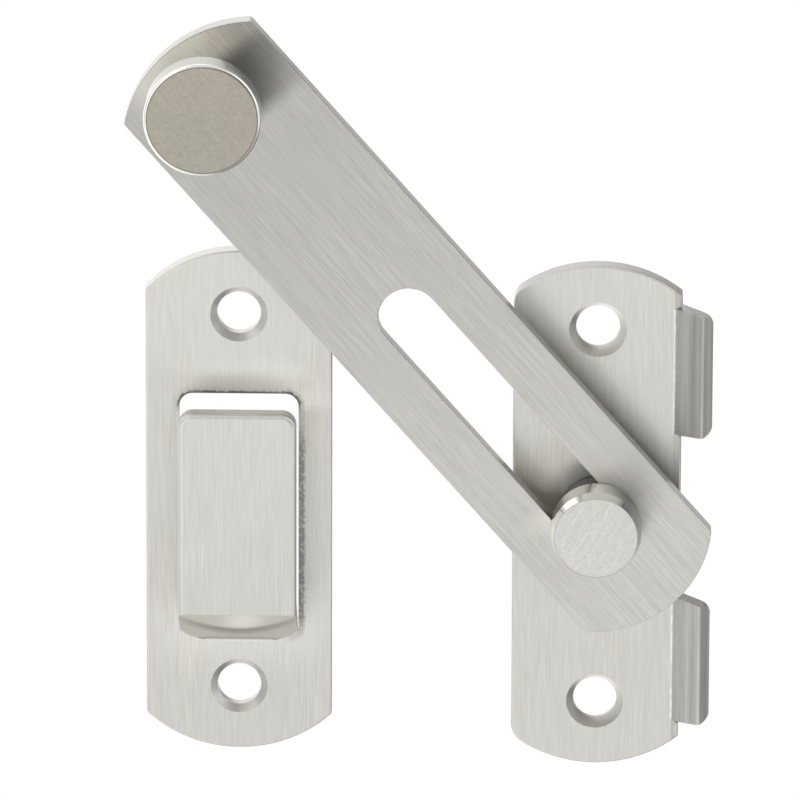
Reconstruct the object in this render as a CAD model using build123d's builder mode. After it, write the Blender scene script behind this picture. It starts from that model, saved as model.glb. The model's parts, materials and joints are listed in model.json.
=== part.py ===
"""Swinging and sliding bar latch for a sliding door, in brushed stainless steel.

A flat arm turns and slides on a stud in the pivot plate and drops behind the hook
of a separate strike plate. Both plates lie on the wall or door, with their backs at
y = 0 and their faces toward -Y. X is to the right and Z is up. The origin is midway
between the pivot plate's two screw holes, at its back. Sizes are in millimetres.
"""

import os
from math import cos, radians, sin, tan

from build123d import *

# Sheet metal
sheet = 3.0                  # thickness of both plates and of the arm
edge_round = 0.35            # rounding of the sheet's front edges
plate_length = 94.3          # both plates, over their curved ends
screw_inset = 11.9           # wall screw holes, from the ends of a plate
screw_hole_d = 7.8           # wall screw hole
screw_mouth_d = 10.2         # its mouth at the face of the plate

# Clearances
seat_gap = 0.3               # between pieces that move past each other
running_gap = 0.05           # between the stud and the bush that turns on it
shank_gap = 0.1              # round a screw's shank

# Pivot plate
pivot_width = 29.9
pivot_bow = 5.3              # how far its curved ends bulge past their corners
pivot_left_corner = 4.0      # rounding of the corners away from the tabs
pivot_right_corner = 0.5
pivot_mouth_angle = 60.0     # full angle of its screw holes' mouths
tab_inset = 8.15             # from the plate's end to the outer end of a tab, before the lift
tab_lift = 0.3               # middle between the tabs, above the plate's middle
tab_play = 0.7               # added to the arm's width, each side, between the tabs
tab_angle = 38.0             # how far a tab is bent forward
tab_setback = 1.3            # its bend line, inside the edge of the plate
tab_run = 4.9                # from the bend line to the tab's tip
tab_bend = 0.8               # inside radius of the bend
tab_taper = 0.7              # how much each end draws in at the tip
tab_corner = 1.7             # rounding of the tip's corners
tab_lip_round = 0.4          # rounding of the tip's front edge
relief_radius = 0.7          # small notch at each end of a tab

# Strike plate
strike_width = 33.1
strike_foot_bow = 6.7
strike_head_bow = 7.4
strike_x = -63.65            # middle of the plate, from the middle of the pivot plate
strike_lift = 2.25           # and above it
strike_corner = 0.9
strike_mouth_angle = 90.0
hook_width = 20.9
hook_foot_inset = 20.95      # crease at the hook's foot, from the plate's lower end
hook_angle = 51.5            # slope of the ramp
hook_room = 0.6              # between the arm's face and the hook
hook_bend = 1.0              # inside radius of the hook's bends
hook_corner = 2.6            # rounding of the hook's free corners
ramp_corner = 4.4            # rounding of the ramp's corners at its foot
hook_edge_round = 0.8        # its front edges, rolled over by the press
window_inset = 26.75         # upper edge of the window, from the plate's upper end
window_corner = 2.4
window_gap = 0.3             # between the hook's free end and the window's edge
shear_gap = 0.15             # between the hook's sides and the window
slit_end = 1.3               # the slits beside the ramp end this far above its foot

# Arm
arm_angle = 49.15            # the arm's rise toward its knob, above the level
arm_width = 29.55
arm_tail = 20.2              # lower end of the arm, beyond the stud's axis
arm_tip = 115.95             # upper end of the arm
arm_tail_bow = 6.0
arm_tip_bow = 5.2
arm_corner = 0.8
slot_width = 10.8
slot_travel = 51.1           # between the centres of the slot's round ends

# Stud, and the bush that turns on it
stud_lift = 1.0              # the stud's axis, above the middle of the pivot plate
stud_head_d = 16.0
stud_head_height = 6.4
stud_bevel_in = 0.6          # the head's long bevel, inward
stud_bevel_down = 1.85       # and down its side
bush_wall = 1.6
bush_flange_d = 13.2

# Grip knob
knob_inset = 9.95           # its axis, from the upper end of the arm
knob_head_d = 20.6
knob_head_height = 5.0
knob_round = 0.6
knob_neck_d = 10.0
knob_neck_height = 10.5

# Countersunk screws that hold the stud and the knob from behind
screw_d = 4.0
screw_head_d = 8.0
screw_sink = 0.1             # how deep the head lies below the sheet's back
screw_grip = 5.0             # how far the screw goes into the stud or knob
socket_width = 2.5           # hexagon socket, across its flats
socket_depth = 1.5

# Heights of the layers above the wall
tab_rise = tab_run * tan(radians(tab_angle))
arm_back = sheet + tab_rise + seat_gap
arm_face = arm_back + sheet
hook_back = arm_face + hook_room
hook_face = hook_back + sheet

# Radii of the pivot, from the slot inward
bush_radius = slot_width / 2 - seat_gap
bush_bore = bush_radius - bush_wall
shank_radius = bush_bore - running_gap
screw_bore = screw_d / 2 + shank_gap
screw_mouth = screw_head_d / 2 + screw_sink

# Directions and places
out = (0, -1, 0)
up = (0, 0, 1)
rightward = (1, 0, 0)
along_arm = Vector(-cos(radians(arm_angle)), 0, sin(radians(arm_angle)))
half_plate = plate_length / 2
pivot_place = Vector(0, 0, 0)
tab_place = Vector(pivot_width / 2, 0, tab_lift)
strike_place = Vector(strike_x, 0, strike_lift)
stud_place = Vector(0, 0, stud_lift)
knob_place = stud_place + along_arm * (arm_tip - knob_inset)
screw_spacing = plate_length - 2 * screw_inset


def face_plane(place, along, height=0.0):
    """Plane parallel to the wall at a height, with its X axis along a direction."""
    return Plane(origin=(place.X, -height, place.Z), x_dir=along, z_dir=out)


def back_plane(place, height=0.0):
    """Plane parallel to the wall at a height, that faces the wall."""
    return Plane(origin=(place.X, -height, place.Z), x_dir=rightward, z_dir=(0, 1, 0))


def side_plane(place):
    """Plane across the wall, with X to the right and Y as the height off the wall."""
    return Plane(origin=place, x_dir=rightward, z_dir=(0, 0, -1))


def corners_at(sketch, *points):
    """The corners of a sketch that lie nearest to some points."""
    return [sketch.vertices().sort_by_distance((x, y, 0))[0] for x, y in points]


def strip(width, tail, tip, tail_bow, tip_bow, low_corner, high_corner):
    """Flat strip along X with bowed ends and a corner rounding for each long side."""
    half = width / 2
    with BuildSketch() as outline:
        with BuildLine():
            Line((tail + tail_bow, -half), (tip - tip_bow, -half))
            ThreePointArc((tip - tip_bow, -half), (tip, 0), (tip - tip_bow, half))
            Line((tip - tip_bow, half), (tail + tail_bow, half))
            ThreePointArc((tail + tail_bow, half), (tail, 0), (tail + tail_bow, -half))
        make_face()
        fillet(outline.vertices().group_by(Axis.Y)[0], low_corner)
        fillet(outline.vertices().group_by(Axis.Y)[-1], high_corner)
    return outline.sketch


def tongue(low, high, width, low_corner, high_corner):
    """Rectangle along X with one rounding for its low corners and one for its high ones."""
    with BuildSketch() as outline:
        with Locations(((low + high) / 2, 0)):
            Rectangle(high - low, width)
        fillet(outline.vertices().group_by(Axis.X)[0], low_corner)
        fillet(outline.vertices().group_by(Axis.X)[-1], high_corner)
    return outline.sketch


def screw_section(seat):
    """Half section of a countersunk screw in the back of a sheet at this height."""
    head = seat + screw_sink
    cone = (screw_head_d - screw_d) / 2
    end = seat + sheet + screw_grip
    with BuildSketch() as section:
        with BuildLine():
            Polyline(
                (0, head),
                (screw_head_d / 2, head),
                (screw_d / 2, head + cone),
                (screw_d / 2, end),
                (0, end),
                close=True,
            )
        make_face()
    return section.sketch


# Hook of the strike plate, bent up out of the sheet
hook_foot = hook_foot_inset - half_plate
hook_shoulder = hook_foot + (hook_face - sheet) / tan(radians(hook_angle))
hook_shift = sheet * tan(radians(hook_angle / 2))
window_top = half_plate - window_inset
hook_tip = window_top - window_gap
root_lead = hook_bend + sheet

with BuildPart() as hook:
    # Its side view, with X up the plate and Y as the height off the wall
    with BuildSketch(Plane(origin=strike_place, x_dir=up, z_dir=rightward)) as hook_side:
        with BuildLine():
            Polyline(
                (hook_foot - root_lead, sheet),
                (hook_foot, sheet),
                (hook_shoulder, hook_face),
                (hook_tip, hook_face),
                (hook_tip, hook_back),
                (hook_shoulder + hook_shift, hook_back),
                (hook_foot + hook_shift, 0),
                (hook_foot - root_lead, 0),
                close=True,
            )
        make_face()
        hollow = corners_at(hook_side, (hook_foot, sheet), (hook_shoulder + hook_shift, hook_back))
        proud = corners_at(hook_side, (hook_foot + hook_shift, 0), (hook_shoulder, hook_face))
        fillet(hollow, hook_bend)
        fillet(proud, hook_bend + sheet)
    extrude(amount=hook_width / 2, both=True)
    # From the front all its corners are round, and its root is as wide as the ramp's straight foot
    with BuildSketch(face_plane(strike_place, up)) as hook_front:
        add(tongue(hook_foot, hook_tip, hook_width, ramp_corner, hook_corner))
        with Locations((hook_foot - root_lead / 2, 0)):
            Rectangle(root_lead, hook_width - 2 * ramp_corner)
    extrude(amount=hook_face, mode=Mode.INTERSECT)
    # All its front edges but the bend at the shoulder
    hook_top = hook.faces().sort_by(Axis.Y)[0]
    fillet(hook_top.edges().sort_by(Axis.Z)[1:], hook_edge_round)

with BuildPart() as strike_plate:
    with BuildSketch(face_plane(strike_place, up)):
        add(
            strip(
                strike_width, -half_plate, half_plate,
                strike_foot_bow, strike_head_bow, strike_corner, strike_corner,
            )
        )
    extrude(amount=sheet)
    fillet(strike_plate.faces().sort_by(Axis.Y)[0].edges(), edge_round)
    # The window follows the hook, and its side slits run on beside the round ramp
    with BuildSketch(face_plane(strike_place, up)):
        add(
            tongue(
                hook_foot - shear_gap, window_top, hook_width + 2 * shear_gap,
                ramp_corner + shear_gap, window_corner,
            )
        )
        with Locations((hook_foot + (slit_end + ramp_corner) / 2, 0)):
            with GridLocations(0, hook_width + shear_gap, 1, 2):
                Rectangle(ramp_corner - slit_end, shear_gap)
    extrude(amount=sheet, mode=Mode.SUBTRACT)
    with Locations(face_plane(strike_place, up, sheet)):
        with GridLocations(screw_spacing, 0, 2, 1):
            CounterSinkHole(
                screw_hole_d / 2, screw_mouth_d / 2,
                depth=sheet, counter_sink_angle=strike_mouth_angle,
            )
    add(hook.part)

strike_plate.part.label = "strike_plate"


# Guide tab of the pivot plate, bent forward from its right edge
tab_gap = arm_width + 2 * tab_play
tab_length = half_plate - tab_inset - tab_gap / 2
tab_middle = (tab_gap + tab_length) / 2
tab_tip = tab_run - tab_setback
tab_shift = sheet * tan(radians(tab_angle / 2))
tab_lead = tab_bend + sheet
tab_end = (
    tab_tip + sheet * sin(radians(tab_angle)),
    sheet + tab_rise - sheet * cos(radians(tab_angle)),
)

with BuildPart() as tab:
    # Its section, with X outward from the plate's edge and Y as the height
    with BuildSketch(side_plane(tab_place)) as tab_side:
        with BuildLine():
            Polyline(
                (-tab_lead, sheet),
                (-tab_setback, sheet),
                (tab_tip, sheet + tab_rise),
                tab_end,
                (tab_shift - tab_setback, 0),
                (-tab_lead, 0),
                close=True,
            )
        make_face()
        fillet(corners_at(tab_side, (-tab_setback, sheet)), tab_bend)
        fillet(corners_at(tab_side, (tab_shift - tab_setback, 0)), tab_bend + sheet)
        fillet(corners_at(tab_side, (tab_tip, sheet + tab_rise)), tab_lip_round)
    extrude(amount=tab_length / 2, both=True)
    with BuildSketch(face_plane(tab_place, rightward)) as tab_front:
        with BuildLine():
            Polyline(
                (-tab_lead, -tab_length / 2),
                (0, -tab_length / 2),
                (tab_end[0], tab_taper - tab_length / 2),
                (tab_end[0], tab_length / 2 - tab_taper),
                (0, tab_length / 2),
                (-tab_lead, tab_length / 2),
                close=True,
            )
        make_face()
        fillet(tab_front.vertices().group_by(Axis.X)[-1], tab_corner)
    extrude(amount=arm_back, mode=Mode.INTERSECT)

with BuildPart() as pivot_plate:
    with BuildSketch(face_plane(pivot_place, up)):
        add(
            strip(
                pivot_width, -half_plate, half_plate,
                pivot_bow, pivot_bow, pivot_right_corner, pivot_left_corner,
            )
        )
    extrude(amount=sheet)
    fillet(pivot_plate.faces().sort_by(Axis.Y)[0].edges(), edge_round)
    with BuildSketch(face_plane(tab_place, rightward)):
        tab_ends = [tab_gap / 2, tab_gap / 2 + tab_length]
        with Locations(*[(0, side * end) for side in (-1, 1) for end in tab_ends]):
            Circle(relief_radius)
    extrude(amount=sheet, mode=Mode.SUBTRACT)
    with Locations((0, 0, -tab_middle), (0, 0, tab_middle)):
        add(tab.part)
    with Locations(face_plane(pivot_place, up, sheet)):
        with GridLocations(screw_spacing, 0, 2, 1):
            CounterSinkHole(
                screw_hole_d / 2, screw_mouth_d / 2,
                depth=sheet, counter_sink_angle=pivot_mouth_angle,
            )
    # Hole for the stud's screw, countersunk from the back
    with Locations(back_plane(stud_place)):
        CounterSinkHole(screw_bore, screw_mouth, depth=sheet, counter_sink_angle=90)

pivot_plate.part.label = "pivot_plate"


# Arm, with its long slot and the countersunk hole for the knob's screw
with BuildPart() as swing_arm:
    with BuildSketch(face_plane(stud_place, along_arm, arm_back)):
        add(
            strip(
                arm_width, -arm_tail, arm_tip,
                arm_tail_bow, arm_tip_bow, arm_corner, arm_corner,
            )
        )
        with Locations((slot_travel / 2, 0)):
            SlotCenterToCenter(slot_travel, slot_width, mode=Mode.SUBTRACT)
    extrude(amount=sheet)
    fillet(swing_arm.faces().sort_by(Axis.Y)[0].edges(), edge_round)
    with Locations(back_plane(knob_place, arm_back)):
        CounterSinkHole(screw_bore, screw_mouth, depth=sheet, counter_sink_angle=90)

swing_arm.part.label = "swing_arm"


# Stud: a bevelled head over the arm, on a shank that stands on the pivot plate
head_back = arm_face + seat_gap
head_front = head_back + stud_head_height
stud_bore_end = sheet + screw_grip + seat_gap

with BuildPart() as pivot_stud:
    with BuildSketch(side_plane(stud_place)):
        with BuildLine():
            Polyline(
                (0, head_front),
                (stud_head_d / 2 - stud_bevel_in, head_front),
                (stud_head_d / 2, head_front - stud_bevel_down),
                (stud_head_d / 2, head_back),
                (shank_radius, head_back),
                (shank_radius, sheet),
                (screw_bore, sheet),
                (screw_bore, stud_bore_end),
                (0, stud_bore_end),
                close=True,
            )
        make_face()
    revolve(axis=Axis(stud_place, out))

pivot_stud.part.label = "pivot_stud"

with BuildPart() as stud_screw:
    with BuildSketch(side_plane(stud_place)):
        add(screw_section(0))
    revolve(axis=Axis(stud_place, out))
    with BuildSketch(face_plane(stud_place, rightward, screw_sink)):
        RegularPolygon(socket_width / 2, side_count=6, major_radius=False)
    extrude(amount=socket_depth, mode=Mode.SUBTRACT)

stud_screw.part.label = "stud_screw"


# Flanged bush: it fills the slot, turns on the stud and holds the arm off the plate
flange_back = sheet + seat_gap
flange_face = arm_back - seat_gap

with BuildPart() as slot_bush:
    with BuildSketch(side_plane(stud_place)):
        with BuildLine():
            Polyline(
                (bush_bore, flange_back),
                (bush_flange_d / 2, flange_back),
                (bush_flange_d / 2, flange_face),
                (bush_radius, flange_face),
                (bush_radius, arm_face),
                (bush_bore, arm_face),
                close=True,
            )
        make_face()
    revolve(axis=Axis(stud_place, out))

slot_bush.part.label = "slot_bush"


# Grip knob: a flat round head on a thinner neck that stands on the arm
neck_end = arm_face + knob_neck_height
knob_face = neck_end + knob_head_height
knob_bore_end = arm_face + screw_grip + seat_gap

with BuildPart() as grip_knob:
    with BuildSketch(side_plane(knob_place)) as knob_section:
        with BuildLine():
            Polyline(
                (0, knob_face),
                (knob_head_d / 2, knob_face),
                (knob_head_d / 2, neck_end),
                (knob_neck_d / 2, neck_end),
                (knob_neck_d / 2, arm_face),
                (screw_bore, arm_face),
                (screw_bore, knob_bore_end),
                (0, knob_bore_end),
                close=True,
            )
        make_face()
        fillet(knob_section.vertices().group_by(Axis.X)[-1], knob_round)
    revolve(axis=Axis(knob_place, out))

grip_knob.part.label = "grip_knob"

with BuildPart() as knob_screw:
    with BuildSketch(side_plane(knob_place)):
        add(screw_section(arm_back))
    revolve(axis=Axis(knob_place, out))
    with BuildSketch(face_plane(knob_place, rightward, arm_back + screw_sink)):
        RegularPolygon(socket_width / 2, side_count=6, major_radius=False)
    extrude(amount=socket_depth, mode=Mode.SUBTRACT)

knob_screw.part.label = "knob_screw"


os.makedirs("parts", exist_ok=True)
export_step(strike_plate.part, "parts/strike_plate.step")
export_step(pivot_plate.part, "parts/pivot_plate.step")
export_step(pivot_stud.part, "parts/pivot_stud.step")
export_step(stud_screw.part, "parts/stud_screw.step")
export_step(slot_bush.part, "parts/slot_bush.step")
export_step(swing_arm.part, "parts/swing_arm.step")
export_step(grip_knob.part, "parts/grip_knob.step")
export_step(knob_screw.part, "parts/knob_screw.step")
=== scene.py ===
"""Looks of the sliding door bolt: brushed stainless steel in a white studio."""

import json
from functools import reduce
from math import atan2, cos, degrees, radians, sin

import bpy
from mathutils import Matrix, Vector


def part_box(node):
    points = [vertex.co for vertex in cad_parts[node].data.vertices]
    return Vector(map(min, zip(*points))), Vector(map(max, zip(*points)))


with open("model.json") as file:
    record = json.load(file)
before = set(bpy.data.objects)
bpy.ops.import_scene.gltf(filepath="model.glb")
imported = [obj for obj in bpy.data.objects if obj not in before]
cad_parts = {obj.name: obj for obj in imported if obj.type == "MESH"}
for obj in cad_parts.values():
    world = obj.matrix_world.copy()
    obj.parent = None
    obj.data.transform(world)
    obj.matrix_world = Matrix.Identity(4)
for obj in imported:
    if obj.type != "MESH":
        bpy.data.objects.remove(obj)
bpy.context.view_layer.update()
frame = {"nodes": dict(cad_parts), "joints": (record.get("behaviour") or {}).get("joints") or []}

joints = {joint["name"]: joint for joint in frame["joints"]}

# Lengths are in metres, and this is one millimetre
MM = 0.001

# Camera, fitted to the photograph, with angles in degrees and its lens and sensor in millimetres
CAMERA_TARGET = Vector((-0.0351, 0.0, 0.0206))
CAMERA_DISTANCE = 2.2
CAMERA_AZIMUTH = 1.08
CAMERA_ELEVATION = 19.82
CAMERA_ROLL = 0.2
CAMERA_LENS = 556.8
CAMERA_SENSOR = 36.0
CAMERA_CLIP = (0.05, 50.0)

# Floor and backdrop, and the one lamp with its power in watts
FLOOR_HEIGHT = -1.2
BACKDROP_DEPTH = 6.0
STAGE_WIDTH = 16.0
PAPER = (0.85, 0.85, 0.85, 1.0)
SOFTBOX_PLACE = Vector((-0.9, -0.7, 1.1))
SOFTBOX_TARGET = Vector((-0.03, 0.0, 0.03))
SOFTBOX_SIZE = 0.7
SOFTBOX_POWER = 1.5

# What the steel mirrors in front of it: a level, and patches as (towards, spread from and to, gain)
FRONT_LEVEL = 0.8
FRONT_PATCHES = (
    ((-0.45, -0.66, -0.60), (0.88, 0.985), 1.9),     # strong softbox low at the left
    ((-0.45, -0.89, 0.02), (0.88, 0.98), 1.2),       # and its upper part
    ((0.55, -0.70, -0.45), (0.85, 0.98), 0.5),       # weak light low at the right
    ((0.90, -0.22, 0.38), (0.78, 0.97), 0.6),        # and higher up
    ((0.36, -0.93, 0.08), (0.90, 0.985), -0.6),      # dark studio between them
)
DARKEST = 0.06
BRIGHTEST = 1.6

# What it mirrors behind it, at the left and at the right, and the parts of a direction, sideways
# and backwards, over which one level turns into the next
BACK_LEVELS = (1.22, 0.32)
LEFT_TO_RIGHT = (-0.1, 0.6)
FRONT_TO_BACK = (-0.05, 0.12)

# Levels that a value rises or falls between, and spans of noise, a narrow and a wide one
RISE = (0.0, 1.0)
FALL = (1.0, 0.0)
NOISE_BODY = (0.35, 0.65)
NOISE_RANGE = (0.3, 0.7)

# Noises, as waves to the metre along X, Y and Z. Brushing runs along Z before it is turned.
FINE_STREAKS = (4600.0, 4600.0, 120.0)
COARSE_STREAKS = (1500.0, 1500.0, 60.0)
CLOUDS = (90.0, 90.0, 40.0)
SCRATCHES = (4200.0, 4200.0, 90.0)
MOTTLE = (1300.0, 1300.0, 1300.0)
TURNING_RINGS = (40.0, 5000.0, 40.0)
NYLON_GRAIN = (2500.0, 2500.0, 2500.0)
TAB_STREAKS = (900.0, 900.0, 20.0)
CREASE_SPECKS = (1500.0, 1500.0, 700.0)
EDGE_NOISE = (1900.0, 1900.0, 1900.0)

# How far a surface faces out of the wall where its look changes, with one for straight out. The
# last span is for backs, which face the wall.
SHEET_FACE = (0.4, 0.5)
CRISP_FACE = (0.7, 0.74)
FLAT_FACE = (0.9, 0.97)
TURNED_FACE = (0.93, 0.98)
TURNED_BEVEL = (0.1, 0.25)
TURNED_BACK = (0.5, 0.9)

# Steel: share of the fine streaks, tints of the clouds, gain of the turning rings, and roughness,
# which is (side, face) where a piece is turned
FINE_SHARE = 0.93
SHEET_TINT = (0.97, 1.0, 1.02)
TURNED_TINT = (0.93, 0.98, 0.98)
RING_GAIN = 0.92
SHEET_SIDE_ROUGHNESS = 0.24
TURNED_ROUGHNESS = (0.15, 0.3)

# Pale back of a turned piece, hardly metallic and rough: painted light, so that the steel beside it
# mirrors a bright back
BACK_LIGHT_COLOUR = (0.86, 0.84, 0.80, 1.0)
BACK_ROUGHNESS = 0.8
BACK_METALLIC = 0.2

BUMP_DEPTH = 0.02 * MM
WHITE = (1.0, 1.0, 1.0, 1.0)

# Bent tabs of the pivot plate: their crease, middle height, reach from it, soft borders and the
# tones of their painted light and shade
TAB_CREASE = 13.65 * MM
TAB_MIDDLE = 0.3 * MM
TAB_REACH = (15.4 * MM, 39.0 * MM)
TAB_START = (TAB_CREASE - 0.1 * MM, TAB_CREASE + 0.1 * MM)
TAB_FAR = (TAB_CREASE + 1.0 * MM, TAB_CREASE + 3.5 * MM)
TAB_BORDER = 0.3 * MM
LOWER_TO_UPPER = (0.0, 1.0 * MM)
CREASE_WIDTH = (0.1 * MM, 0.25 * MM)
CREASE_HIGHLIGHT = (0.95, 0.94, 0.90, 1.0)
CREASE_HIGHLIGHT_SHARE = 0.4
TAB_SIDE_GAIN = 0.1

# Window of the strike plate: centre, half sizes and corner, then heights and places of its marks
# and painted light
WINDOW_CENTRE = (-63.65 * MM, -0.65 * MM)
WINDOW_HALF = (10.6 * MM, 23.3 * MM)
WINDOW_CORNER = 2.4 * MM
WINDOW_TOP = (19.0 * MM, 21.0 * MM)
WINDOW_RIGHT = (WINDOW_CENTRE[0] + 8.0 * MM, WINDOW_CENTRE[0] + 9.0 * MM)
PALE_TO_RIGHT = (-75.0 * MM, -64.0 * MM)
BAND_TOP = (13.0 * MM, 17.0 * MM)
BAND_FOOT = (-25.0 * MM, -20.0 * MM)

# Widths of the window's marks, from its edge outwards, how far a noise shifts them, and how much
# of its painted pale border is left away from the top right
PALE_WIDTH = (0.0, 8.0 * MM)
EDGE_WIDTH = (0.25 * MM, 0.6 * MM)
TOP_SHADE_WIDTH = (0.2 * MM, 1.6 * MM)
BAND_WIDTH = (0.7 * MM, 1.35 * MM)
EDGE_NOISE_SHIFT = 0.2 * MM
PALE_SHARE = 0.27

# Hook of the strike plate: depths between it and the sheet, how its ramp slants, and the painted
# shade and highlight on the ramp, whose height bows and whose depth fades with the square of the
# way aside.
# The last three are heights over the shade's own.
HOOK_TO_SHEET = (-3.35 * MM, -3.15 * MM)
RAMP_SLANT = (-0.12, -0.05)
SHADE_HEIGHT = -20.15 * MM
SHADE_BOW = 40.0
SHADE_FADE = 6000.0
SHADE_BELOW = (-3.0 * MM, -0.6 * MM)
SHADE_ABOVE = (-0.6 * MM, 0.5 * MM)
LIFT_HEIGHTS = (-1.0 * MM, 2.0 * MM)

# Axes of the stud and the knob, as across and up, which are X and Z, the rims of their faces, and
# the width of the painted shade line at a rim
STUD_AXIS = joints["arm_swing"]["pos_m"][::2]
STUD_RIM = 7.4 * MM
KNOB_AXIS = [sum(ends) / 2 for ends in zip(*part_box("grip_knob"))][::2]
KNOB_RIM = 9.7 * MM
RIM_WIDTH = (0.05 * MM, 0.14 * MM)

# Ways along the arm from the stud and across it, in X and Z too, and its brushing's slope
ARM_ALONG = [-part for part in joints["arm_slide"]["axis"][::2]]
ARM_ACROSS = [ARM_ALONG[1], -ARM_ALONG[0]]
ARM_BRUSHING = degrees(atan2(ARM_ALONG[1], ARM_ALONG[0]))

# Painted light on the arm, along it from the stud and across it: a dark band of painted shadow from
# the knob, a warm painted highlight at its tip and pale flares painted as reflections of the stud
KNOB_SHADOW_START = (95.0 * MM, 99.0 * MM)
KNOB_SHADOW_END = (106.5 * MM, 110.0 * MM)
KNOB_SHADOW_LOWER = (0.0, 5.0 * MM)
KNOB_SHADOW_UPPER = (5.0 * MM, 15.0 * MM)
TIP_START = (107.5 * MM, 111.0 * MM)
TIP_LOWER = (-6.0 * MM, 1.0 * MM)
TIP_UPPER = (7.0 * MM, 13.0 * MM)
TIP_HIGHLIGHT = (1.75, 1.68, 1.57, 1.0)
FLARE_MIDDLE = 7.2 * MM
FLARE_REACH = (0.0, 3.5 * MM)
FLARE_SIDES = (7.0 * MM, 14.0 * MM)
FLARE_COLOUR = (0.86, 0.82, 0.75, 1.0)

# The arm's pale corner, a painted highlight, as across and up
CORNER_PLACE = (-77.5 * MM, 84.5 * MM)
CORNER_REACH = (3.0 * MM, 10.0 * MM)
CORNER_HIGHLIGHT = (0.76, 0.74, 0.69, 1.0)


def fill(tree, made, inputs):
    """Links or sets a node's inputs, each by its name or number."""
    for key, given in inputs.items():
        if isinstance(given, bpy.types.NodeSocket):
            tree.links.new(given, made.inputs[key])
        else:
            made.inputs[key].default_value = given


def node(tree, kind, inputs=None, **properties):
    """A shader node with its properties and inputs."""
    made = tree.nodes.new(kind)
    for name, value in properties.items():
        setattr(made, name, value)
    fill(tree, made, inputs or {})
    return made


def math_node(tree, operation, first, second=0.0):
    return node(tree, "ShaderNodeMath", {0: first, 1: second}, operation=operation).outputs[0]


def chained(tree, operation, values):
    return reduce(lambda first, second: math_node(tree, operation, first, second), values)


def plus(tree, *values):
    return chained(tree, "ADD", values)


def times(tree, *values):
    return chained(tree, "MULTIPLY", values)


def minus(tree, first, second):
    return math_node(tree, "SUBTRACT", first, second)


def off(tree, value, middle):
    """How far a value is from a middle, to either side."""
    return math_node(tree, "ABSOLUTE", minus(tree, value, middle))


def hypotenuse(tree, across, above):
    return math_node(tree, "SQRT", plus(tree, times(tree, across, across),
                                        times(tree, above, above)))


def projected(tree, across, above, way):
    """How far a place lies along a way."""
    return plus(tree, times(tree, across, way[0]), times(tree, above, way[1]))


def dot(tree, first, second):
    return node(tree, "ShaderNodeVectorMath", {0: first, 1: second},
                operation="DOT_PRODUCT").outputs["Value"]


def ramp(tree, value, span=RISE, levels=RISE, smooth=False):
    """The value carried from a span to two levels, and held at its ends."""
    made = node(tree, "ShaderNodeMapRange",
                {"Value": value, "From Min": span[0], "From Max": span[1],
                 "To Min": levels[0], "To Max": levels[1]},
                clamp=True, interpolation_type="SMOOTHSTEP" if smooth else "LINEAR")
    return made.outputs["Result"]


def mix_value(tree, factor, first, second):
    return node(tree, "ShaderNodeMix", {0: factor, 2: first, 3: second},
                data_type="FLOAT").outputs[0]


def mix_colour(tree, factor, first, second, blend="MIX"):
    return node(tree, "ShaderNodeMix", {0: factor, 6: first, 7: second},
                data_type="RGBA", blend_type=blend).outputs[2]


def gain_tone(tree, tone, gain):
    return mix_colour(tree, 1.0, tone, gain, blend="MULTIPLY")


def darken(tree, tone, amount, share):
    """The tone, less a share of itself where the amount is one."""
    return gain_tone(tree, tone, minus(tree, 1.0, times(tree, amount, share)))


def lighten(tree, tone, amount):
    """The tone and as much more of itself as the amount says."""
    return gain_tone(tree, tone, plus(tree, 1.0, amount))


def tinted(colour, gains):
    """A plain colour with its channels times their gains, held under white and opaque."""
    return [min(1.0, channel * gain) for channel, gain in zip(colour, gains)] + [1.0]


def shade(colour, gain=1.0):
    return tinted(colour, (gain, gain, gain))


def coordinate(tree, kind):
    return node(tree, "ShaderNodeTexCoord").outputs[kind]


def axes(tree, vector):
    """The X, Y and Z of a place or direction."""
    return node(tree, "ShaderNodeSeparateXYZ", {0: vector}).outputs


def noise(tree, place, waves, detail=2.0, roughness=0.5):
    stretched = node(tree, "ShaderNodeMapping", {"Vector": place, "Scale": waves}).outputs[0]
    return node(tree, "ShaderNodeTexNoise",
                {"Vector": stretched, "Scale": 1.0, "Detail": detail,
                 "Roughness": roughness}).outputs[0]


def to_world(tree, vector, kind):
    return node(tree, "ShaderNodeVectorTransform", {"Vector": vector}, vector_type=kind,
                convert_from="OBJECT", convert_to="WORLD").outputs[0]


def bump(tree, height, strength, normal=None):
    inputs = {"Strength": strength, "Distance": BUMP_DEPTH, "Height": height}
    if normal is not None:
        inputs["Normal"] = normal
    return node(tree, "ShaderNodeBump", inputs).outputs[0]


def cleared_tree(owner):
    """The empty node tree of a new material or world."""
    owner.use_nodes = True
    owner.node_tree.nodes.clear()
    return owner.node_tree


def new_material(name):
    material = bpy.data.materials.new(name)
    tree = cleared_tree(material)
    shader = node(tree, "ShaderNodeBsdfPrincipled")
    node(tree, "ShaderNodeOutputMaterial", {"Surface": shader.outputs[0]})
    return material, tree, shader


def front_facing(tree, span):
    """One where a surface faces straight out of the wall or into it, none on a slant."""
    forward = axes(tree, coordinate(tree, "Normal"))["Y"]
    return ramp(tree, math_node(tree, "ABSOLUTE", forward), span)


def crisp_normal(tree):
    """The surface's direction, with the front half of its rounded edges taken as flat."""
    normal = coordinate(tree, "Normal")
    forward = math_node(tree, "SIGN", axes(tree, normal)["Y"])
    flat = node(tree, "ShaderNodeCombineXYZ", {"Y": forward}).outputs[0]
    kept = node(tree, "ShaderNodeMix", {0: front_facing(tree, CRISP_FACE), 4: normal, 5: flat},
                data_type="VECTOR").outputs[1]
    return to_world(tree, kept, "NORMAL")


def drifted(tree, place, tone, towards, span, gains):
    """Painted light: a tone that drifts along a direction, over a span, from one gain to another.
    """
    return gain_tone(tree, tone, ramp(tree, dot(tree, place, towards), span, gains))


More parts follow.
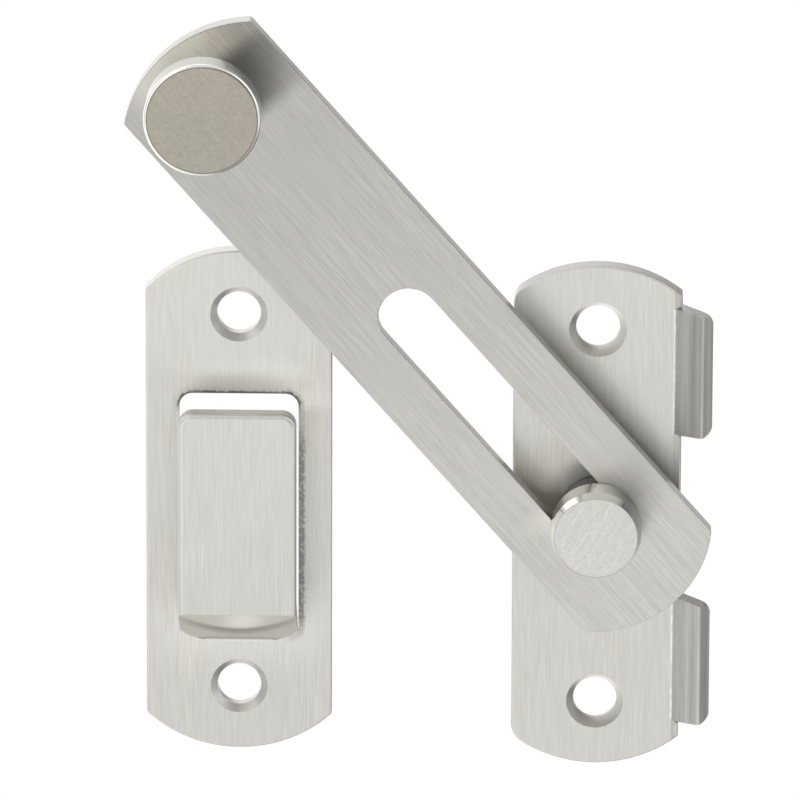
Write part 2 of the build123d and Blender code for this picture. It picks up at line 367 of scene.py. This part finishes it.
def brushed_place(tree, place, slope):
    """Places turned so that Z runs along brushing at a slope above the level, in degrees."""
    return node(tree, "ShaderNodeVectorRotate",
                {"Vector": place, "Angle": radians(slope - 90.0)},
                rotation_type="Y_AXIS").outputs[0]


def brush_streaks(tree, turned):
    """Levels of the streaks, most of them as fine as hairs."""
    fine = noise(tree, turned, FINE_STREAKS, detail=3.0, roughness=0.7)
    coarse = noise(tree, turned, COARSE_STREAKS)
    return plus(tree, times(tree, fine, FINE_SHARE), times(tree, coarse, 1.0 - FINE_SHARE))


def uneven(tree, level, span, colour, contrast):
    """A colour that is darker where a level is low and lighter where it is high."""
    return mix_colour(tree, ramp(tree, level, span), shade(colour, 1.0 - contrast),
                      shade(colour, 1.0 + contrast))


def streaked(tree, turned, streaks, colour, span, contrast, tint, tint_share):
    """A colour that streaks darken and lighten, and tinted clouds pass over."""
    tone = uneven(tree, streaks, span, colour, contrast)
    clouds = noise(tree, turned, CLOUDS, detail=3.0)
    return mix_colour(tree, ramp(tree, clouds, NOISE_BODY, (0.0, tint_share)), tone,
                      tinted(colour, tint))


def brushed_steel(name, colour, contrast, drift, marks, slope=90.0, roughness=(0.35, 0.37),
                  smear=0.8, side_gain=1.0, crisp=False):
    """Satin sheet steel with its marks and painted light, smoother on its sides than on its faces,
    which smear what they mirror across the brushing. The drift is (towards, span, gains), a painted
    gradient of light, and a side gain under one paints shade on the sides."""
    material, tree, shader = new_material(name)
    place = coordinate(tree, "Object")
    turned = brushed_place(tree, place, slope)
    streaks = brush_streaks(tree, turned)
    tone = streaked(tree, turned, streaks, colour, span=(0.32, 0.68), contrast=contrast,
                    tint=SHEET_TINT, tint_share=0.5)
    scratches = ramp(tree, noise(tree, turned, SCRATCHES, detail=0.0), span=(0.68, 0.78),
                     levels=(0.0, 0.5))
    tone = mix_colour(tree, scratches, tone, shade(colour, 1.0 + contrast))
    tone = marks(tree, place, drifted(tree, place, tone, *drift))
    face = front_facing(tree, SHEET_FACE)
    face_roughness = ramp(tree, streaks, NOISE_RANGE, roughness)
    across = (sin(radians(slope)), 0.0, -cos(radians(slope)))
    fill(tree, shader, {
        "Base Color": gain_tone(tree, tone, ramp(tree, face, levels=(side_gain, 1.0))),
        "Metallic": 1.0,
        "Roughness": mix_value(tree, face, SHEET_SIDE_ROUGHNESS, face_roughness),
        "Anisotropic": times(tree, face, smear),
        "Tangent": to_world(tree, across, "VECTOR"),
        "Normal": bump(tree, streaks, strength=0.08, normal=crisp_normal(tree) if crisp else None),
    })
    return material


def turned_face(tree, place, turned, streaks, reach, rim, colour):
    """A satin face, mottled, with a thin dark line of painted shade at its rim."""
    tone = streaked(tree, turned, streaks, colour, span=(0.34, 0.66), contrast=0.08,
                    tint=TURNED_TINT, tint_share=0.6)
    mottle = noise(tree, place, MOTTLE, detail=4.0, roughness=0.8)
    tone = gain_tone(tree, tone, ramp(tree, mottle, NOISE_RANGE, levels=(0.9, 1.1)))
    rim_line = ramp(tree, off(tree, reach, rim), RIM_WIDTH, levels=(0.55, 1.0))
    return gain_tone(tree, tone, rim_line)


def turned_side(tree, place, colour, bevel_highlight, towards_dark, dark_from):
    """Turning marks round the side, a painted highlight on the bevel in front of it, and a dark
    stretch of painted shade.
    """
    rings = noise(tree, place, TURNING_RINGS)
    tone = mix_colour(tree, ramp(tree, rings, NOISE_BODY), shade(colour, RING_GAIN),
                      shade(colour))
    tone = mix_colour(tree, front_facing(tree, TURNED_BEVEL), tone, shade(bevel_highlight))
    dark = ramp(tree, towards_dark, span=(dark_from, 0.95), smooth=True)
    return darken(tree, tone, dark, share=0.62)


def turned_steel(name, face_colour, side_colour, bevel_highlight, axis=(0.0, 0.0), rim=0.0,
                 slope=90.0, dark_way=(0.74, -0.67), dark_from=0.72):
    """A turned piece with a satin face, a bright side and a pale back that is painted light. Its
    axis is given as across and up, and its side has painted shade towards one way."""
    material, tree, shader = new_material(name)
    place = coordinate(tree, "Object")
    turned = brushed_place(tree, place, slope)
    streaks = brush_streaks(tree, turned)
    part = axes(tree, place)
    across, above = minus(tree, part["X"], axis[0]), minus(tree, part["Z"], axis[1])
    reach = hypotenuse(tree, across, above)
    towards_dark = math_node(tree, "DIVIDE", projected(tree, across, above, dark_way), reach)
    face = front_facing(tree, TURNED_FACE)
    back = ramp(tree, axes(tree, coordinate(tree, "Normal"))["Y"], TURNED_BACK)
    tone = mix_colour(tree, face,
                      turned_side(tree, place, side_colour, bevel_highlight, towards_dark, dark_from),
                      turned_face(tree, place, turned, streaks, reach, rim, face_colour))
    roughness = chained(tree, "MAXIMUM", (ramp(tree, face, levels=TURNED_ROUGHNESS),
                                          times(tree, back, BACK_ROUGHNESS)))
    fill(tree, shader, {
        "Base Color": mix_colour(tree, back, tone, BACK_LIGHT_COLOUR),
        "Metallic": ramp(tree, back, levels=(1.0, BACK_METALLIC)),
        "Roughness": roughness,
        "Normal": bump(tree, streaks, strength=times(tree, face, 0.12)),
    })
    return material


def plain_nylon(name, colour):
    """Dull moulded nylon with a fine grain."""
    material, tree, shader = new_material(name)
    grain = noise(tree, coordinate(tree, "Object"), NYLON_GRAIN)
    fill(tree, shader, {
        "Base Color": uneven(tree, grain, NOISE_BODY, colour, contrast=0.15),
        "Roughness": ramp(tree, grain, NOISE_RANGE, levels=(0.5, 0.62)),
        "Normal": bump(tree, grain, strength=0.2),
    })
    return material


def tab_light_and_shade(tree, place, tone):
    """Painted light and shade on the bent tabs: they are darker and streaked, with a painted
    highlight along a speckled crease. The lower tab's upper end has painted shade, and painted
    shade darkens the upper tab away from its crease."""
    part, normal = axes(tree, place), axes(tree, coordinate(tree, "Normal"))
    on_tab = ramp(tree, part["X"], TAB_START)
    # painted shade: the tabs are darker and streaked, as they mirror a darker part of the studio
    tab_shade = ramp(tree, noise(tree, place, TAB_STREAKS, detail=3.0), NOISE_BODY,
                levels=(0.68, 0.92))
    tone = gain_tone(tree, tone, mix_value(tree, on_tab, 1.0, tab_shade))

    # painted highlight: a bright line along the crease, as tall as the tabs
    height = off(tree, part["Z"], TAB_MIDDLE)
    inner, outer = TAB_REACH
    specks = noise(tree, place, CREASE_SPECKS)
    crease = times(tree, ramp(tree, off(tree, part["X"], TAB_CREASE), CREASE_WIDTH, FALL),
                   ramp(tree, specks, span=(0.42, 0.6), levels=(0.2, 1.0)),
                   ramp(tree, height, (inner, inner + TAB_BORDER)),
                   ramp(tree, height, (outer - TAB_BORDER, outer), FALL))
    tone = mix_colour(tree, times(tree, crease, CREASE_HIGHLIGHT_SHARE), tone, CREASE_HIGHLIGHT)

    # painted shade and light: dark end of the lower tab, sides a little paler, and the darker part
    # of the upper tab
    end = times(tree, ramp(tree, normal["Z"], span=(0.5, 0.8)), on_tab,
                ramp(tree, part["Z"], LOWER_TO_UPPER, FALL))
    tone = darken(tree, tone, end, share=0.45)
    side = times(tree, ramp(tree, normal["X"], span=(0.3, 0.5)), on_tab)
    tone = lighten(tree, tone, times(tree, side, TAB_SIDE_GAIN))
    far = times(tree, ramp(tree, part["X"], TAB_FAR), ramp(tree, part["Z"], LOWER_TO_UPPER),
                minus(tree, 1.0, side))
    return darken(tree, tone, far, share=0.2)


def off_window(tree, part):
    """How far a place of the strike plate is from the edge of its window."""
    beyond = []
    for axis, centre, half in zip("XZ", WINDOW_CENTRE, WINDOW_HALF):
        away = minus(tree, off(tree, part[axis], centre), half - WINDOW_CORNER)
        beyond.append(math_node(tree, "MAXIMUM", away, 0.0))
    return minus(tree, hypotenuse(tree, *beyond), WINDOW_CORNER)


def window_light_and_marks(tree, part, edge_noise, sheet, tone):
    """Round the window the sheet is paler, a painted highlight, with a thin dark edge along the top
    under a soft painted shade, and a speckled painted reflection of the hook's side down the right.
    """
    away = off_window(tree, part)
    ragged = plus(tree, away, ramp(tree, edge_noise, NOISE_RANGE, (-EDGE_NOISE_SHIFT, EDGE_NOISE_SHIFT)))
    top = ramp(tree, part["Z"], WINDOW_TOP)
    right = ramp(tree, part["X"], WINDOW_RIGHT)

    # painted highlight: paler sheet, most at the top right, lifting the hook's mirrored shade
    top_right = times(tree, top, ramp(tree, part["X"], PALE_TO_RIGHT))
    pale = times(tree, ramp(tree, away, PALE_WIDTH, levels=(0.36, 0.0), smooth=True), sheet,
                 plus(tree, PALE_SHARE, top_right))
    tone = lighten(tree, tone, pale)

    # thin dark edge along the top, with a soft painted shade over it
    edge = times(tree, ramp(tree, ragged, EDGE_WIDTH, FALL), top, sheet)
    tone = darken(tree, tone, edge, share=0.72)
    soft = times(tree, ramp(tree, away, TOP_SHADE_WIDTH, FALL, smooth=True), top, sheet)
    tone = darken(tree, tone, soft, share=0.13)

    # painted reflection of the hook's dark side: a speckled band down the right side
    band = times(tree, ramp(tree, ragged, BAND_WIDTH, FALL, smooth=True), right,
                 ramp(tree, part["Z"], BAND_TOP, levels=(1.0, 0.35)),
                 ramp(tree, part["Z"], BAND_FOOT), sheet,
                 ramp(tree, edge_noise, span=(0.5, 0.62), levels=(1.0, 0.55)))
    return darken(tree, tone, band, share=0.55)


def ramp_light_and_shade(tree, part, hook, tone):
    """Painted light on the hook's ramp: it is paler, a painted highlight, most of all above a bowed
    line, with a soft painted shade just below the line that is darkest in the middle."""
    aside = minus(tree, part["X"], WINDOW_CENTRE[0])
    aside = times(tree, aside, aside)
    height = minus(tree, part["Z"], plus(tree, times(tree, aside, SHADE_BOW), SHADE_HEIGHT))
    facing_up = axes(tree, coordinate(tree, "Normal"))["Z"]
    slanted = times(tree, ramp(tree, facing_up, RAMP_SLANT, FALL), hook)
    shaded = times(tree, ramp(tree, height, SHADE_BELOW, levels=(0.1, 1.0), smooth=True),
                   ramp(tree, height, SHADE_ABOVE, FALL, smooth=True),
                   minus(tree, 1.0, times(tree, aside, SHADE_FADE)), slanted)
    tone = darken(tree, tone, shaded, share=0.52)
    lifted = ramp(tree, height, LIFT_HEIGHTS, levels=(0.26, 0.42), smooth=True)
    return lighten(tree, tone, times(tree, lifted, slanted))


def strike_light_and_marks(tree, place, tone):
    """Marks on the strike plate round its window and on its hook's ramp, most of them painted light
    and shade.
    """
    part = axes(tree, place)
    edge_noise = noise(tree, place, EDGE_NOISE, detail=3.0)
    sheet = ramp(tree, part["Y"], HOOK_TO_SHEET)
    tone = window_light_and_marks(tree, part, edge_noise, sheet, tone)
    return ramp_light_and_shade(tree, part, minus(tree, 1.0, sheet), tone)


def arm_painted_light(tree, place, tone):
    """Painted light on the arm: a painted shadow beside the knob, a warm painted highlight at its
    tip, a pale painted highlight at its upper left corner and painted reflections of the stud on
    both sides of it."""
    part = axes(tree, place)
    above = minus(tree, part["Z"], STUD_AXIS[1])
    along = projected(tree, part["X"], above, ARM_ALONG)
    beside = projected(tree, part["X"], above, ARM_ACROSS)
    front = front_facing(tree, FLAT_FACE)

    # painted shadow of the knob
    dark = times(tree, ramp(tree, along, KNOB_SHADOW_START, smooth=True),
                 ramp(tree, along, KNOB_SHADOW_END, FALL, smooth=True),
                 ramp(tree, beside, KNOB_SHADOW_LOWER),
                 ramp(tree, beside, KNOB_SHADOW_UPPER, levels=(1.0, 0.25)))
    tone = darken(tree, tone, dark, share=0.72)

    # warm painted highlight at the tip
    tip = times(tree, ramp(tree, along, TIP_START, smooth=True), ramp(tree, beside, TIP_LOWER),
                ramp(tree, beside, TIP_UPPER, levels=(1.0, 0.3)), front)
    tone = gain_tone(tree, tone, mix_colour(tree, tip, WHITE, TIP_HIGHLIGHT))

    # pale flares: painted reflections of the stud
    aside = math_node(tree, "ABSOLUTE", beside)
    flare = times(tree, ramp(tree, off(tree, along, FLARE_MIDDLE), FLARE_REACH,
                             levels=(0.55, 0.0), smooth=True),
                  ramp(tree, aside, FLARE_SIDES, FALL, smooth=True))
    tone = mix_colour(tree, flare, tone, FLARE_COLOUR)

    # pale painted highlight at the upper left corner
    from_corner = hypotenuse(tree, minus(tree, part["X"], CORNER_PLACE[0]),
                             minus(tree, part["Z"], CORNER_PLACE[1]))
    corner = ramp(tree, from_corner, CORNER_REACH, levels=(0.8, 0.0), smooth=True)
    return mix_colour(tree, times(tree, corner, front), tone, CORNER_HIGHLIGHT)


def dress(material, *names):
    """Gives pieces of the frame their finish."""
    for name in names:
        materials = frame["nodes"][name].data.materials
        materials.clear()
        materials.append(material)


def dress_all():
    up = (0.0, 0.0, 1.0)
    up_the_arm = (ARM_ALONG[0], 0.0, ARM_ALONG[1])
    # The drifts are painted light: the plates brighten towards their tops, the arm towards its
    # lower end
    dress(brushed_steel("strike_plate_steel", colour=(0.618, 0.602, 0.564), contrast=0.11,
                        drift=(up, (-45.0 * MM, 45.0 * MM), (0.93, 1.06)), marks=strike_light_and_marks),
          "strike_plate")
    # painted shade: the pivot plate's sides are darker by its side gain
    dress(brushed_steel("pivot_plate_steel", colour=(0.615, 0.597, 0.56), contrast=0.11,
                        drift=(up, (-30.0 * MM, 45.0 * MM), (0.98, 1.05)), marks=tab_light_and_shade,
                        side_gain=0.72),
          "pivot_plate")
    dress(brushed_steel("arm_steel", colour=(0.64, 0.632, 0.595), contrast=0.15,
                        drift=(up_the_arm, (0.0, 90.0 * MM), (1.06, 0.90)), marks=arm_painted_light,
                        slope=ARM_BRUSHING, roughness=(0.40, 0.42), smear=0.85, crisp=True),
          "swing_arm")
    dress(turned_steel("stud_steel", face_colour=(0.735, 0.715, 0.672),
                       side_colour=(0.72, 0.70, 0.66), bevel_highlight=(0.9, 0.89, 0.86),
                       axis=STUD_AXIS, rim=STUD_RIM, slope=60.0, dark_way=(0.97, 0.24),
                       dark_from=0.55),
          "pivot_stud")
    dress(turned_steel("knob_steel", face_colour=(0.458, 0.415, 0.36),
                       side_colour=(0.50, 0.495, 0.455), bevel_highlight=(0.88, 0.87, 0.83),
                       axis=KNOB_AXIS, rim=KNOB_RIM, slope=ARM_BRUSHING),
          "grip_knob")
    dress(turned_steel("screw_steel", face_colour=(0.55, 0.55, 0.54),
                       side_colour=(0.6, 0.6, 0.59), bevel_highlight=(0.6, 0.6, 0.59)),
          "stud_screw", "knob_screw")
    dress(plain_nylon("bush_nylon", colour=(0.12, 0.12, 0.12)), "slot_bush")


def studio_level(tree, way):
    """How bright the studio is in a direction, for what mirrors it."""
    front = FRONT_LEVEL
    for towards, spread, gain in FRONT_PATCHES:
        near = dot(tree, way, tuple(Vector(towards).normalized()))
        front = plus(tree, ramp(tree, near, spread, (0.0, gain), smooth=True), front)
    front = math_node(tree, "MINIMUM", math_node(tree, "MAXIMUM", front, DARKEST), BRIGHTEST)
    part = axes(tree, way)
    back = ramp(tree, part["X"], LEFT_TO_RIGHT, BACK_LEVELS, smooth=True)
    return mix_value(tree, ramp(tree, part["Y"], FRONT_TO_BACK, smooth=True), front, back)


def stage_material():
    """White to the camera, with the studio's levels for what mirrors it, and pale paper that
    takes the light."""
    material = bpy.data.materials.new("studio_white")
    tree = cleared_tree(material)
    ray = node(tree, "ShaderNodeLightPath").outputs
    place = node(tree, "ShaderNodeNewGeometry").outputs["Position"]
    way = node(tree, "ShaderNodeVectorMath", {0: place}, operation="NORMALIZE").outputs[0]
    strength = mix_value(tree, ray["Is Camera Ray"], studio_level(tree, way), 1.0)
    glow = node(tree, "ShaderNodeEmission", {"Color": WHITE, "Strength": strength})
    paper = node(tree, "ShaderNodeBsdfDiffuse", {"Color": PAPER})
    direct = chained(tree, "MAXIMUM", (ray["Is Camera Ray"], ray["Is Glossy Ray"],
                                       ray["Is Transmission Ray"]))
    both = node(tree, "ShaderNodeMixShader", {0: direct, 1: paper.outputs[0], 2: glow.outputs[0]})
    node(tree, "ShaderNodeOutputMaterial", {"Surface": both.outputs[0]})
    return material


def place_object(name, data):
    made = bpy.data.objects.new(name, data)
    bpy.context.scene.collection.objects.link(made)
    return made


def plane(name, centre, right, up):
    """A rectangle spanned by two half sides."""
    mesh = bpy.data.meshes.new(name)
    corners = [centre - right - up, centre + right - up, centre + right + up, centre - right + up]
    mesh.from_pydata([tuple(corner) for corner in corners], [], [(0, 1, 2, 3)])
    return place_object(name, mesh)


def build_stage():
    half = STAGE_WIDTH / 2
    right = Vector((half, 0, 0))
    floor = plane("floor", Vector((0, 0, FLOOR_HEIGHT)), right, Vector((0, half, 0)))
    backdrop = plane("backdrop", Vector((0, BACKDROP_DEPTH, FLOOR_HEIGHT + half)), right,
                     Vector((0, 0, half)))
    material = stage_material()
    for sheet in (floor, backdrop):
        sheet.data.materials.append(material)


def build_world():
    """White to the camera, with the studio's levels for all else."""
    world = bpy.data.worlds.new("studio")
    bpy.context.scene.world = world
    tree = cleared_tree(world)
    way = coordinate(tree, "Generated")
    to_camera = node(tree, "ShaderNodeLightPath").outputs["Is Camera Ray"]
    strength = mix_value(tree, to_camera, studio_level(tree, way), 1.0)
    sky = node(tree, "ShaderNodeBackground", {"Color": WHITE, "Strength": strength})
    node(tree, "ShaderNodeOutputWorld", {"Surface": sky.outputs[0]})


def build_lamp():
    light = bpy.data.lights.new("key_softbox", "AREA")
    light.size = SOFTBOX_SIZE
    light.energy = SOFTBOX_POWER
    lamp = place_object("key_softbox", light)
    lamp.location = SOFTBOX_PLACE
    lamp.rotation_euler = (SOFTBOX_TARGET - SOFTBOX_PLACE).to_track_quat("-Z", "Y").to_euler()


def build_camera():
    azimuth, elevation = radians(CAMERA_AZIMUTH), radians(CAMERA_ELEVATION)
    back = Vector((sin(azimuth) * cos(elevation), -cos(azimuth) * cos(elevation), sin(elevation)))
    data = bpy.data.cameras.new("camera")
    data.lens = CAMERA_LENS
    data.sensor_width = CAMERA_SENSOR
    data.clip_start, data.clip_end = CAMERA_CLIP
    camera = place_object("camera", data)
    turn = (-back).to_track_quat("-Z", "Y").to_matrix().to_4x4()
    roll = Matrix.Rotation(radians(CAMERA_ROLL), 4, "Z")
    camera.matrix_world = Matrix.Translation(CAMERA_TARGET + back * CAMERA_DISTANCE) @ turn @ roll
    bpy.context.scene.camera = camera


bpy.context.scene.view_settings.view_transform = "Standard"
build_camera()
build_stage()
build_world()
build_lamp()
dress_all()
